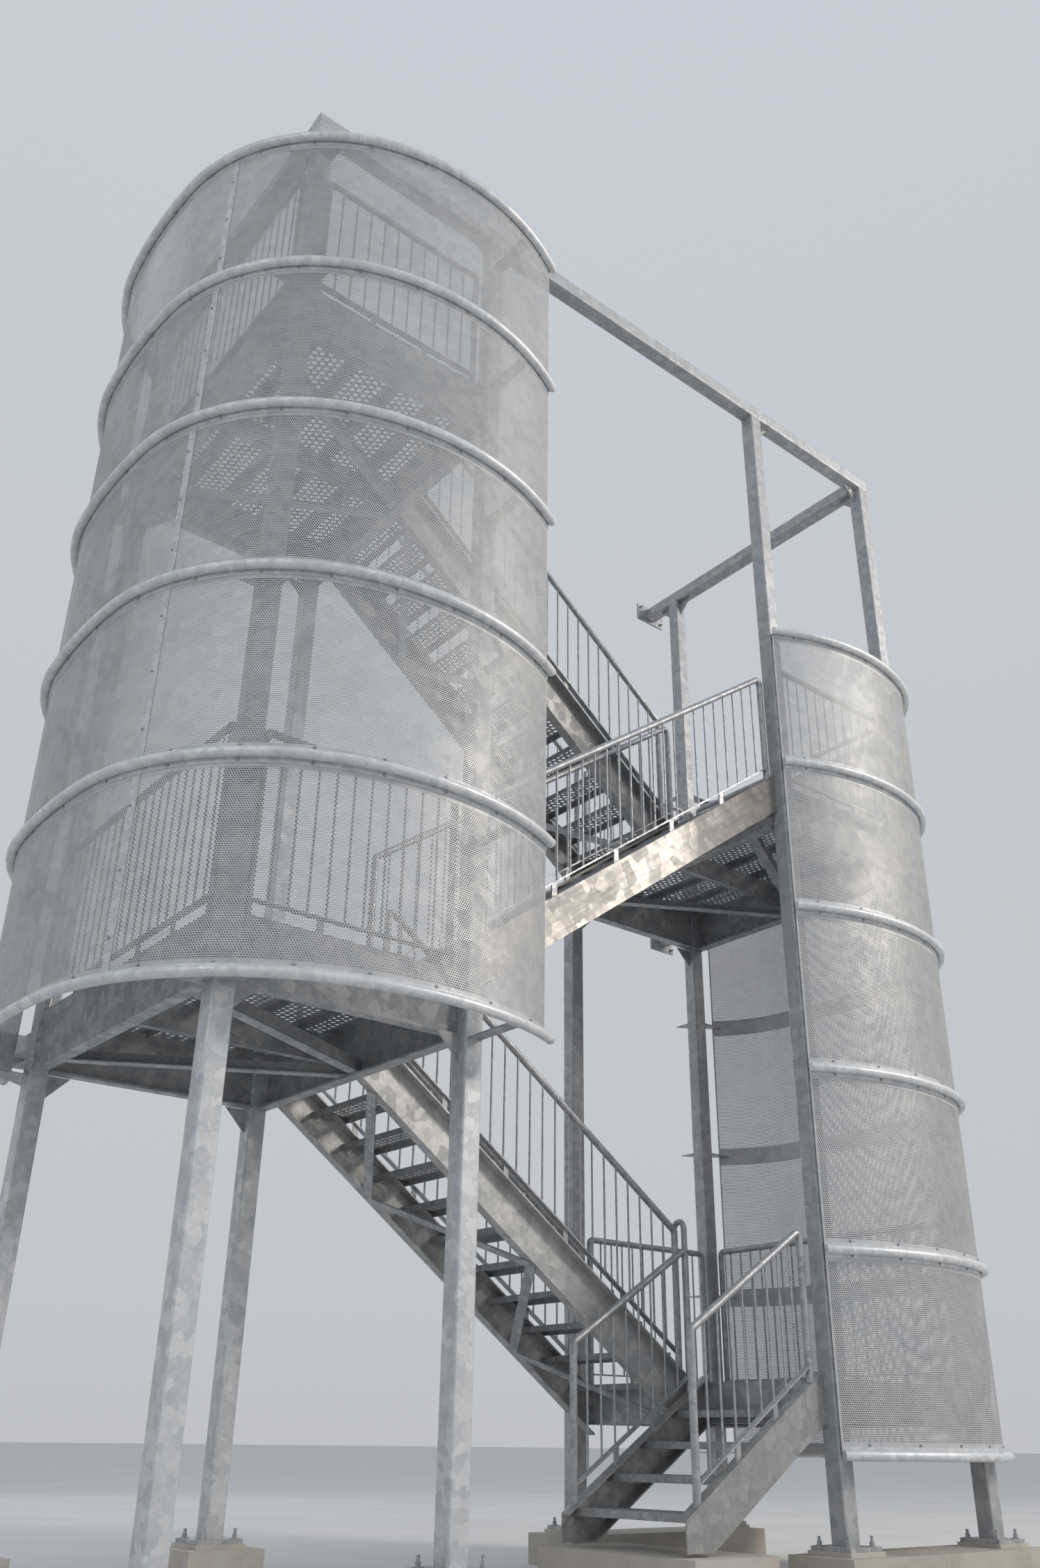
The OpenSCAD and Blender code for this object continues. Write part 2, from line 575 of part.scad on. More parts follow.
module screen_brackets_left() color("silver") at_frame()
  for (k = [0:5]) let (z = ring_low_a + k * ring_pitch - 4) {
    // corner plate at the outer front post
    intersection() { plate_at([[w, 0], [0, 0], [0, w], [-300, w], [-300, -300], [w, -300]], z); disc(ca, rb - in2 - 1, z); }
    // corner plate at the outer back post
    intersection() { plate_at([[w, depth], [0, depth], [0, yin], [-300, yin], [-300, depth + 300], [w, depth + 300]], z); disc([ca[0], 2 * sa[1] - ca[1]], rb - in2 - 1, z); }
    // arm from the second front post
    intersection() { translate([bay - w + 20, -600, z]) cube([w - 40, 600, 8]); disc(fa, ra - in2 - 1, z); }
  }
module screen_brackets_right() color("silver") at_frame()
  for (k = [0:5]) let (z = ring_low_b + k * ring_pitch - 4) {
    intersection() { plate_at([[xr1 - w, 0], [xr1, 0], [xr1, w], [xr1 + 300, w], [xr1 + 300, -300], [xr1 - w, -300]], z); disc(cb, re - in2 - 1, z); }
    intersection() { plate_at([[xr1 - w, depth], [xr1, depth], [xr1, yin], [xr1 + 300, yin], [xr1 + 300, depth + 300], [xr1 - w, depth + 300]], z); disc([cb[0], 2 * sb[1] - cb[1]], re - in2 - 1, z); }
    intersection() { translate([xr0 + 20, -600, z]) cube([w - 20, 600, 8]); disc(fb, rd - in2 - 1, z); }
  }

posts_left();
posts_right();
base_plates();
grout_pads();
plinths_left();
plinth_right();
stair_foot_block();
top_beam();
wall_struts();
wall_plates();
landing_ties();
knee_plates();
frame_l1();
frame_l2();
frame_l3();
frame_l4();
deck_l1();
deck_l2();
deck_l3();
deck_l4();
stringers_f1();
stringers_f2();
stringers_f3();
stringers_f4();
treads_f1();
treads_f2();
treads_f3();
treads_f4();
soffit_bracing();
guard_f1_outer();
guard_f1_inner();
guard_f2_outer();
guard_f2_inner();
guard_f3_outer();
guard_f3_inner();
guard_f4_outer();
guard_f4_inner();
guards_l1();
guards_l2();
guards_l3();
guards_l4();
screen_left_front();
screen_left_side();
screen_right_front();
screen_right_side();
rings_left();
rings_right();
screen_brackets_left();
screen_brackets_right();
seam_strips();
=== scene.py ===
import math
import numpy as np
import bpy
from mathutils import Matrix, Vector


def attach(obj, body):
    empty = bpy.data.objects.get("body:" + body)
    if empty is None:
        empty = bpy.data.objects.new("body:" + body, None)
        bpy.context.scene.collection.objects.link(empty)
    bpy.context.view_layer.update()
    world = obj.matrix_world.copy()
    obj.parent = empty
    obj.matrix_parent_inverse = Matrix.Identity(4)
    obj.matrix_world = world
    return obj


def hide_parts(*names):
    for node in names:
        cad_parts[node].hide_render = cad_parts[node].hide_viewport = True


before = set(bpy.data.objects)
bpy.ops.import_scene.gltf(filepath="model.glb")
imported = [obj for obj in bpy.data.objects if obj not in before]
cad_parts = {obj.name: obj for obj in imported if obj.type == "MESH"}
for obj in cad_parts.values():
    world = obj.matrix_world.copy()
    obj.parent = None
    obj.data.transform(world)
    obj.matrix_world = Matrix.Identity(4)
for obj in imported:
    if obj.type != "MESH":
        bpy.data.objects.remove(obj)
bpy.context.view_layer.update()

# ------------------------------------------------------------------ tower values, in millimetres
OX, OY, OZ = 3078.394, 1234.425, -250.0
W = 127.0
DEPTH, BAY, RUN = 2627.0, 1677.0, 2853.0
YIN = DEPTH - W
XR0, XR1 = BAY + RUN, BAY + RUN + BAY
RISER = 187.0
L1 = RISER * 5; L2 = L1 + RISER * 11; L3 = L2 + RISER * 12; L4 = L3 + RISER * 12
BEAM_Z = 8950.0
LANE1 = (79.0, 1150.0); LANE2 = (1258.0, 2350.0)
GOING1, START_BACK = 296.0, 200.0
SIDE_IN, PLANK_END = 8.0, 356.0
X_FOOT = XR0 - GOING1 * 4
WALL_Y = 3000.0
RING_R, PITCH, BAND_H, BAND_T, SHEET_T = 30.15, 1215.0, 98.0, 6.0, 3.0
LOW_A, LOW_B = 2582.0, 492.0
IN1 = RING_R + BAND_T
IN2 = IN1 + SHEET_T


def cosd(a): return math.cos(math.radians(a))
def sind(a): return math.sin(math.radians(a))


FA = (1054.0, 1356.0); RA, RB, RC = 1857.0, 1487.0, 4870.0
CA = (FA[0] + (RA - RB) * cosd(251), FA[1] + (RA - RB) * sind(251))
SA = (CA[0] - (RC - RB) * cosd(185.5), CA[1] - (RC - RB) * sind(185.5))
LEFT_FRONT = [(CA, RB, 204, 251), (FA, RA, 251, 298.7)]
LEFT_SIDE = [((CA[0], 2 * SA[1] - CA[1]), RB, 132.2, 174.5), (SA, RC, 174.5, 185.5), (CA, RB, 185.5, 204)]
FB = (5440.0, 1536.0); RD, RE, RF = 1836.0, 1000.0, 6970.0
CB = (FB[0] + (RD - RE) * cosd(288), FB[1] + (RD - RE) * sind(288))
SB = (CB[0] - (RF - RE) * cosd(-5.5), CB[1] - (RF - RE) * sind(-5.5))
RIGHT_FRONT = [(FB, RD, 239.7, 288), (CB, RE, 288, 325)]
RIGHT_SIDE = [(CB, RE, 325, 354.5), (SB, RF, -5.5, 5.5), ((CB[0], 2 * SB[1] - CB[1]), RE, 5.5, 45.7)]


def fr(p):
    """tower millimetres to row-frame metres"""
    return ((p[0] - OX) / 1000.0, (p[1] - OY) / 1000.0, (p[2] - OZ) / 1000.0)


# ------------------------------------------------------------------ materials
def nodes_of(name):
    m = bpy.data.materials.new(name)
    m.use_nodes = True
    nt = m.node_tree
    nt.nodes.clear()
    out = nt.nodes.new("ShaderNodeOutputMaterial")
    bs = nt.nodes.new("ShaderNodeBsdfPrincipled")
    nt.links.new(bs.outputs[0], out.inputs[0])
    return m, nt, bs


class G:
    """small helper for shader graphs"""

    def __init__(self, nt):
        self.nt = nt

    def put(self, sock, v):
        if v is None:
            return
        if isinstance(v, bpy.types.NodeSocket):
            self.nt.links.new(v, sock)
        else:
            sock.default_value = v

    def coord(self, kind="Object"):
        return self.nt.nodes.new("ShaderNodeTexCoord").outputs[kind]

    def math(self, op, a, b=None, c=None, clamp=False):
        n = self.nt.nodes.new("ShaderNodeMath"); n.operation = op; n.use_clamp = clamp
        self.put(n.inputs[0], a); self.put(n.inputs[1], b)
        if c is not None: self.put(n.inputs[2], c)
        return n.outputs[0]

    def vec(self, op, a, b=None, out=0):
        n = self.nt.nodes.new("ShaderNodeVectorMath"); n.operation = op
        self.put(n.inputs[0], a)
        if b is not None: self.put(n.inputs[1], b)
        return n.outputs["Value" if op in ("LENGTH", "DOT_PRODUCT", "DISTANCE") else 0]

    def noise(self, v, scale, detail=3.0, rough=0.55, dist=0.0, col=False):
        n = self.nt.nodes.new("ShaderNodeTexNoise")
        self.put(n.inputs["Vector"], v); self.put(n.inputs["Scale"], scale)
        self.put(n.inputs["Detail"], detail); self.put(n.inputs["Roughness"], rough); self.put(n.inputs["Distortion"], dist)
        return n.outputs["Color" if col else 0]

    def voro(self, v, scale, feature="F1", out="Color", rnd=1.0):
        n = self.nt.nodes.new("ShaderNodeTexVoronoi"); n.feature = feature
        self.put(n.inputs["Vector"], v); self.put(n.inputs["Scale"], scale); self.put(n.inputs["Randomness"], rnd)
        return n.outputs[out]

    def sep(self, v, k):
        n = self.nt.nodes.new("ShaderNodeSeparateXYZ"); self.put(n.inputs[0], v)
        return n.outputs[k]

    def rng(self, v, a, b, c, d, kind="LINEAR"):
        n = self.nt.nodes.new("ShaderNodeMapRange"); n.interpolation_type = kind
        for i, x in enumerate((v, a, b, c, d)): self.put(n.inputs[i], x)
        return n.outputs[0]

    def ramp(self, f, stops, kind="LINEAR"):
        n = self.nt.nodes.new("ShaderNodeValToRGB"); n.color_ramp.interpolation = kind
        e = n.color_ramp.elements
        while len(e) < len(stops): e.new(0.5)
        for el, (p, c) in zip(e, stops): el.position = p; el.color = (*c, 1)
        self.put(n.inputs[0], f)
        return n.outputs[0]

    def mix(self, f, a, b, kind="MIX"):
        n = self.nt.nodes.new("ShaderNodeMix"); n.data_type = "RGBA"; n.blend_type = kind
        self.put(n.inputs[0], f)
        for s, v in ((n.inputs[6], a), (n.inputs[7], b)):
            if isinstance(v, tuple): s.default_value = (*v, 1)
            else: self.put(s, v)
        return n.outputs[2]

    def bump(self, h, strength, dist):
        n = self.nt.nodes.new("ShaderNodeBump")
        self.put(n.inputs["Height"], h); n.inputs["Strength"].default_value = strength; n.inputs["Distance"].default_value = dist
        return n.outputs[0]


def galvanised(name, tone=1.0, cell=20.0, contrast=1.0, metal=0.45, rough=0.5, streak=0.5, tint=(1.0, 1.0, 1.0), along=None, painted_shade_x=None):
    """zinc coat: spangle cells in two sizes with broken edges, broad clouds, runs down the face or along it and a fine
    tooth; optionally a painted shade that darkens it past a line along x
    """
    m, nt, bs = nodes_of(name)
    g = G(nt)
    co = g.coord()
    warp = g.vec("MULTIPLY", g.vec("SUBTRACT", g.noise(co, 26.0, 2.0, col=True), (0.5, 0.5, 0.5)), (0.035, 0.035, 0.035))
    wc = g.vec("ADD", co, warp)
    va = g.voro(wc, cell)
    vb = g.voro(wc, cell * 2.3)
    flake = g.rng(g.sep(va, 0), 0.45, 0.72, 0.0, 1.0, "SMOOTHSTEP")
    mid = g.sep(va, 1)
    small = g.rng(g.sep(vb, 2), 0.55, 0.9, 0.0, 1.0, "SMOOTHSTEP")
    cloud = g.noise(co, 1.7, 4.0, 0.6)
    if along:
        dx, dz = along
        sc = g.vec("DOT_PRODUCT", co, (dx, 0.0, dz)); sp = g.vec("DOT_PRODUCT", co, (-dz, 0.0, dx))
        cv = g.nt.nodes.new("ShaderNodeCombineXYZ")
        g.put(cv.inputs[0], g.math("MULTIPLY", sc, 1.6)); g.put(cv.inputs[1], g.sep(co, 1)); g.put(cv.inputs[2], g.math("MULTIPLY", sp, 30.0))
        run = g.noise(cv.outputs[0], 1.0, 4.0, 0.65)
    else:
        run = g.noise(g.vec("MULTIPLY", co, (22.0, 22.0, 0.7)), 1.0, 4.0, 0.6)
    grain = g.noise(co, 420.0, 2.0, 0.6)
    s = g.math("MULTIPLY", flake, 0.30)
    s = g.math("ADD", s, g.math("MULTIPLY", mid, 0.22))
    s = g.math("ADD", s, g.math("MULTIPLY", small, 0.16))
    s = g.math("ADD", s, g.math("MULTIPLY", run, 0.45 * streak))
    s = g.math("ADD", s, g.math("MULTIPLY", cloud, 0.35))
    s = g.math("ADD", s, g.math("MULTIPLY", grain, 0.08))
    c = 0.14 + 0.11 + 0.05 + 0.225 * streak + 0.175 + 0.04
    f = g.rng(s, c - 0.55 / contrast, c + 0.55 / contrast, 0.0, 1.0)
    t = [tone * k for k in tint]
    col = g.ramp(f, [(0.0, (0.250 * t[0], 0.262 * t[1], 0.280 * t[2])), (0.38, (0.385 * t[0], 0.398 * t[1], 0.412 * t[2])),
                     (0.66, (0.485 * t[0], 0.492 * t[1], 0.498 * t[2])), (1.0, (0.62 * t[0], 0.615 * t[1], 0.60 * t[2]))])
    if painted_shade_x:
        # painted shade: darker, less metallic and rougher further along x, past the edge of the sunlit part
        e = g.math("ADD", g.sep(co, 0), g.math("MULTIPLY", g.math("SUBTRACT", g.noise(co, 2.4, 5.0, 0.6), 0.5), 0.9))
        e = g.rng(e, painted_shade_x[0], painted_shade_x[1], 1.0, painted_shade_x[2], "SMOOTHSTEP")
        col = g.vec("MULTIPLY", col, e)
    g.put(bs.inputs["Base Color"], col)
    ro = g.rng(s, c - 0.45, c + 0.45, rough + 0.12, rough - 0.10)
    bs.inputs["Metallic"].default_value = metal
    if painted_shade_x:
        g.put(bs.inputs["Metallic"], g.rng(e, painted_shade_x[2], 1.0, 0.05, metal))
        bs.inputs["Specular IOR Level"].default_value = 0.25
        ro = g.math("ADD", ro, g.rng(e, painted_shade_x[2], 1.0, 0.40, 0.0), clamp=True)
    g.put(bs.inputs["Roughness"], ro)
    h = g.math("ADD", g.math("MULTIPLY", grain, 0.5), g.math("MULTIPLY", flake, 0.25))
    g.put(bs.inputs["Normal"], g.bump(h, 0.25, 0.0010))
    return m


def sheet_metal(name, tone, holes=None):
    """thin zinc-coated sheet: faint mottling, and staggered rows of round holes that go through it"""
    m, nt, bs = nodes_of(name)
    g = G(nt)
    co = g.coord()
    cloud = g.noise(co, 2.2, 3.0, 0.6)
    spot = g.sep(g.voro(co, 16.0), 0)
    f = g.math("ADD", g.math("MULTIPLY", cloud, 0.7), g.math("MULTIPLY", spot, 0.3))
    col = g.ramp(f, [(0.2, (0.40 * tone, 0.415 * tone, 0.435 * tone)), (0.5, (0.485 * tone, 0.49 * tone, 0.495 * tone)), (0.8, (0.555 * tone, 0.552 * tone, 0.545 * tone))])
    g.put(bs.inputs["Base Color"], col)
    bs.inputs["Metallic"].default_value = 0.25
    g.put(bs.inputs["Roughness"], g.rng(f, 0.2, 0.8, 0.62, 0.46))
    if holes:
        c, row, r = holes
        uv = g.coord("UV")
        p = g.vec("DIVIDE", uv, (c, 2 * row, 1.0))
        a = g.vec("MULTIPLY", g.vec("SUBTRACT", g.vec("FRACTION", p), (0.5, 0.5, 0.0)), (c, 2 * row, 0.0))
        b = g.vec("MULTIPLY", g.vec("SUBTRACT", g.vec("FRACTION", g.vec("ADD", p, (0.5, 0.5, 0.0))), (0.5, 0.5, 0.0)), (c, 2 * row, 0.0))
        d = g.math("MINIMUM", g.vec("LENGTH", a), g.vec("LENGTH", b))
        # plain margins along the rings, where the sheets are bolted
        v = g.math("ADD", g.math("DIVIDE", g.math("SUBTRACT", g.sep(uv, 1), 0.005), PITCH / 1000.0), 0.5)
        v = g.math("MULTIPLY", g.math("ABSOLUTE", g.math("SUBTRACT", g.math("FRACT", v), 0.5)), PITCH / 1000.0)
        g.put(bs.inputs["Alpha"], g.math("MAXIMUM", g.math("GREATER_THAN", d, r), g.math("LESS_THAN", v, 0.074)))
    return m


def concrete(name, tone=1.0):
    m, nt, bs = nodes_of(name)
    g = G(nt)
    co = g.coord()
    big = g.noise(co, 2.2, 5.0, 0.6)
    fine = g.noise(co, 60.0, 4.0, 0.7)
    pit = g.voro(co, 55.0, out="Distance")
    s = g.math("ADD", g.math("MULTIPLY", big, 0.7), g.math("MULTIPLY", fine, 0.3))
    col = g.ramp(s, [(0.25, (0.30 * tone, 0.27 * tone, 0.235 * tone)), (0.5, (0.47 * tone, 0.435 * tone, 0.385 * tone)), (0.8, (0.60 * tone, 0.565 * tone, 0.51 * tone))])
    dark = g.rng(pit, 0.0, 0.16, 0.55, 1.0)
    col = g.mix(1.0, col, g.ramp(dark, [(0.0, (0, 0, 0)), (1.0, (1, 1, 1))]), "MULTIPLY")
    g.put(bs.inputs["Base Color"], col)
    g.put(bs.inputs["Roughness"], g.rng(fine, 0.2, 0.8, 0.82, 0.97))
    g.put(bs.inputs["Normal"], g.bump(g.math("ADD", fine, dark), 0.6, 0.004))
    return m


HOLE_C, HOLE_ROW, HOLE_R = 0.0147, 0.01273, 0.00495
# one zinc in lit and shaded copies: the left posts carry a painted lit tone (1.34), the right posts and wall struts a
# painted shade tone (0.96)
M_POST_LIT = galvanised("zinc_post_painted_lit", 1.34, 17.0, 0.68, 0.35, 0.50, 0.5)
M_POST_SHADED = galvanised("zinc_post_right_painted_shade", 0.96, 17.0, 0.68, 0.35, 0.50, 0.5)
# the top beam carries a painted lit tone (1.16) of the same zinc as the landing beams (0.92)
M_TOP_LIT = galvanised("zinc_top_beam_painted_lit", 1.16, 17.0, 0.68, 0.35, 0.50, 0.5)
M_BEAM = galvanised("zinc_beam", 0.92, 15.0, 0.95, 0.40, 0.46, 0.8)
SL = math.hypot(BAY + RUN - BAY, RISER * 12)
# F3 stringer: painted warm sunlight in the raised tone and the warm tint, and painted shade further along x past the
# sunlit part
M_F3_SUNLIT = galvanised("zinc_stringer_painted_sunlit", 1.10, 11.0, 0.72, 0.36, 0.52, 1.9, tint=(1.09, 1.0, 0.91), along=(RUN / SL, RISER * 12 / SL), painted_shade_x=(0.40, 1.20, 0.46))
# one stringer zinc in two copies: F1 and F4 carry a painted shade tone (0.76), F2 a painted lit tone (1.04)
M_STR_SHADED = galvanised("zinc_stringer_painted_shade", 0.76, 14.0, 0.80, 0.40, 0.48, 0.9, tint=(1.02, 1.0, 0.97), along=(RUN / SL, RISER * 12 / SL))
M_STR_LIT = galvanised("zinc_stringer_painted_lit", 1.04, 14.0, 0.80, 0.40, 0.48, 0.9, tint=(1.02, 1.0, 0.97), along=(RUN / SL, RISER * 12 / SL))
M_RAIL = galvanised("zinc_rail", 0.92, 26.0, 0.8, 0.50, 0.44, 0.3)
# the ring pipes' tone is raised to 1.58 as a painted highlight
M_RING_HIGHLIT = galvanised("zinc_ring_painted_highlight", 1.58, 20.0, 0.6, 0.25, 0.42, 0.3)
M_BAND = galvanised("zinc_band", 1.32, 30.0, 0.6, 0.28, 0.50, 0.3)
M_PLATE = galvanised("zinc_plate", 0.98, 18.0, 0.9, 0.42, 0.50, 0.5)
M_TREAD = galvanised("zinc_tread", 0.80, 24.0, 0.8, 0.40, 0.55, 0.2)
M_BOLT = galvanised("zinc_bolt", 0.98, 90.0, 0.8, 0.35, 0.48, 0.0)
M_SHEET = sheet_metal("zinc_sheet", 1.12, holes=(HOLE_C, HOLE_ROW, HOLE_R))
M_SHEET_EDGE = sheet_metal("zinc_sheet_edge", 1.12)
M_CONC = concrete("cast_concrete", 1.0)
M_GROUT = concrete("pad_grout", 1.12)


def dress(node, mat):
    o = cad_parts[node]
    o.data.materials.clear()
    o.data.materials.append(mat)
    for p in o.data.polygons:
        p.material_index = 0


# ------------------------------------------------------------------ mesh helpers
def piece(name, verts, faces, mats, uvs=None, idx=None, smooth=False):
    me = bpy.data.meshes.new(name)
    me.from_pydata([tuple(v) for v in verts], [], [tuple(f) for f in faces])
    for mm in mats: me.materials.append(mm)
    if idx is not None: me.polygons.foreach_set("material_index", np.array(idx, np.int32))
    if uvs is not None:
        lay = me.uv_layers.new(name="UVMap")
        flat = np.array([c for f in faces for v in f for c in uvs[v]], np.float32)
        lay.data.foreach_set("uv", flat)
    me.validate(clean_customdata=False)
    me.update()
    if smooth: me.polygons.foreach_set("use_smooth", [True] * len(me.polygons))
    o = bpy.data.objects.new(name, me)
    bpy.context.scene.collection.objects.link(o)
    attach(o, "root")
    return o


class Acc:
    """collects points and faces of one piece"""

    def __init__(self):
        self.v = []; self.f = []; self.uv = []; self.i = []

    def add(self, v, f, uv=None, mi=0):
        n = len(self.v)
        self.v += [tuple(p) for p in v]
        self.f += [tuple(n + k for k in q) for q in f]
        self.uv += list(uv) if uv is not None else [(0.0, 0.0)] * len(v)
        self.i += [mi] * len(f)

    def box(self, a, b, mi=0):
        (x0, y0, z0), (x1, y1, z1) = a, b
        v = [(x, y, z) for x in (x0, x1) for y in (y0, y1) for z in (z0, z1)]
        f = [(0, 1, 3, 2), (4, 6, 7, 5), (0, 4, 5, 1), (2, 3, 7, 6), (0, 2, 6, 4), (1, 5, 7, 3)]
        self.add(v, f, mi=mi)

    def done(self, name, mats, slot=None, uv=False, smooth=False):
        return piece(name, self.v, self.f, mats, self.uv if uv else None, self.i, smooth)


# ------------------------------------------------------------------ perforated screens
def sheet_piece(name, arcs, zl, node):
    z0, z1 = zl - 5.0, zl + 5 * PITCH + 5.0
    A = Acc()
    stations = []
    s = 0.0
    for (c, r, a0, a1) in arcs:
        n = max(6, int(abs(a1 - a0) * math.pi / 180 * r / 45))
        for k in range(n + 1):
            if k == 0 and stations: continue
            a = a0 + (a1 - a0) * k / n
            stations.append((c, r, a, s + abs(a - a0) * math.pi / 180 * r))
        s += abs(a1 - a0) * math.pi / 180 * r
    total = s
    edge = 14.0
    cols = []
    for (c, r, a, u) in stations:
        cols.append((c[0], c[1], r, a, u))
    # add stations for the plain margins
    def at(u):
        for (p, q) in zip(cols[:-1], cols[1:]):
            if p[4] <= u <= q[4]:
                if abs(q[2] - p[2]) < 1e-6 and abs(q[0] - p[0]) < 1e-6:
                    t = (u - p[4]) / (q[4] - p[4])
                    return (p[0], p[1], p[2], p[3] + (q[3] - p[3]) * t, u)
                r = q[2]
                t = (u - p[4]) / (q[4] - p[4])
                # the joint station belongs to both arcs
                sgn = 1 if q[3] > p[3] else -1
                return (q[0], q[1], q[2], q[3] - sgn * (q[4] - u) / q[2] * 180 / math.pi, u)
        return cols[-1]
    us = sorted(set([edge, total - edge]) | {c[4] for c in cols})
    seq = [at(u) for u in us]
    zs = list(np.linspace(z0, z1, 13))
    nz = len(zs)
    for off, flip in ((IN1, False), (IN2, True)):
        base = len(A.v)
        V, UV = [], []
        for (cx, cy, r, a, u) in seq:
            x = cx + (r - off) * cosd(a); y = cy + (r - off) * sind(a)
            for z in zs:
                V.append(fr((x, y, z))); UV.append((u / 1000.0, (z - z0) / 1000.0))
        F, I = [], []
        for i in range(len(seq) - 1):
            plain = seq[i + 1][4] <= edge + 1e-6 or seq[i][4] >= total - edge - 1e-6
            for j in range(nz - 1):
                q = (i * nz + j, (i + 1) * nz + j, (i + 1) * nz + j + 1, i * nz + j + 1)
                F.append(q[::-1] if flip else q); I.append(1 if plain else 0)
        n0 = len(A.v)
        A.v += V; A.uv += UV; A.f += [tuple(n0 + k for k in q) for q in F]; A.i += I
    half = len(seq) * nz
    # rims
    for i in range(len(seq) - 1):
        for j in (0, nz - 1):
            a, b = i * nz + j, (i + 1) * nz + j
            q = (a, a + half, b + half, b) if j == 0 else (a, b, b + half, a + half)
            A.f.append(q); A.i.append(1)
    for i in (0, len(seq) - 1):
        for j in range(nz - 1):
            a, b = i * nz + j, i * nz + j + 1
            q = (a, b, b + half, a + half) if i == 0 else (a, a + half, b + half, b)
            A.f.append(q); A.i.append(1)
    o = A.done(name, [M_SHEET, M_SHEET_EDGE], "perforated_screen", uv=True)
    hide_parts(node)
    return o


sheet_piece("sheet_left_front", LEFT_FRONT, LOW_A, "screen_left_front")
sheet_piece("sheet_left_side", LEFT_SIDE, LOW_A, "screen_left_side")
sheet_piece("sheet_right_front", RIGHT_FRONT, LOW_B, "screen_right_front")
sheet_piece("sheet_right_side", RIGHT_SIDE, LOW_B, "screen_right_side")

# ------------------------------------------------------------------ perforated planks and treads
def field(A, P, p0, ncol, cw, q0, q1, pitch, r, zt, zb, ring=12):
    """plate from q0 to q1 in columns of width cw, one round hole in each cell, every other column shifted by half"""
    def pts(pq, z): return [fr((*P(a, b), z)) for (a, b) in pq]
    for c in range(ncol):
        a0, a1 = p0 + c * cw, p0 + (c + 1) * cw
        off = pitch / 2 if c % 2 else 0.0
        m = int((q1 - q0 - off) / pitch + 1e-6)
        for (b0, b1) in ((q0, q0 + off), (q0 + off + m * pitch, q1)):
            if b1 - b0 > 0.01:
                cor = [(a0, b0), (a1, b0), (a1, b1), (a0, b1)]
                A.add(pts(cor, zt) + pts(cor, zb), [(0, 1, 2, 3), (7, 6, 5, 4)])
        for k in range(m):
            b0 = q0 + off + k * pitch; b1 = b0 + pitch
            ca, cb = (a0 + a1) / 2, (b0 + b1) / 2
            inner, outer = [], []
            for j in range(ring):
                t = 2 * math.pi * (j + 0.5) / ring
                x, y = math.cos(t), math.sin(t)
                inner.append((ca + r * x, cb + r * y))
                kx = (cw / 2) / abs(x) if abs(x) > 1e-9 else 1e9
                ky = (pitch / 2) / abs(y) if abs(y) > 1e-9 else 1e9
                d = min(kx, ky)
                outer.append((ca + d * x, cb + d * y))
            V = pts(outer, zt) + pts(inner, zt) + pts(inner, zb) + pts(outer, zb)
            # the four corners close the cell
            cor = [(a1, b1), (a0, b1), (a0, b0), (a1, b0)]
            V += pts(cor, zt) + pts(cor, zb)
            F = []
            for j in range(ring):
                l = (j + 1) % ring
                F.append((j, l, ring + l, ring + j))
                F.append((ring + j, ring + l, 2 * ring + l, 2 * ring + j))
                F.append((2 * ring + j, 2 * ring + l, 3 * ring + l, 3 * ring + j))
                (xa, ya), (xb, yb) = outer[j], outer[l]
                if abs(xa - xb) > 1e-6 and abs(ya - yb) > 1e-6:
                    qd = 0 if (xa + xb > 2 * ca and ya + yb > 2 * cb) else 1 if (xa + xb < 2 * ca and ya + yb > 2 * cb) else 2 if xa + xb < 2 * ca else 3
                    F.append((j, 4 * ring + qd, l)); F.append((3 * ring + j, 3 * ring + l, 4 * ring + 4 + qd))
            A.add(V, F)


def box_mm(A, x0, y0, z0, x1, y1, z1, mi=0):
    A.box(fr((min(x0, x1), min(y0, y1), z0)), fr((max(x0, x1), max(y0, y1), z1)), mi)


DECK_T, BF = 6.0, 85.0
COL, HP, HR = 47.7, 55.0, 18.6


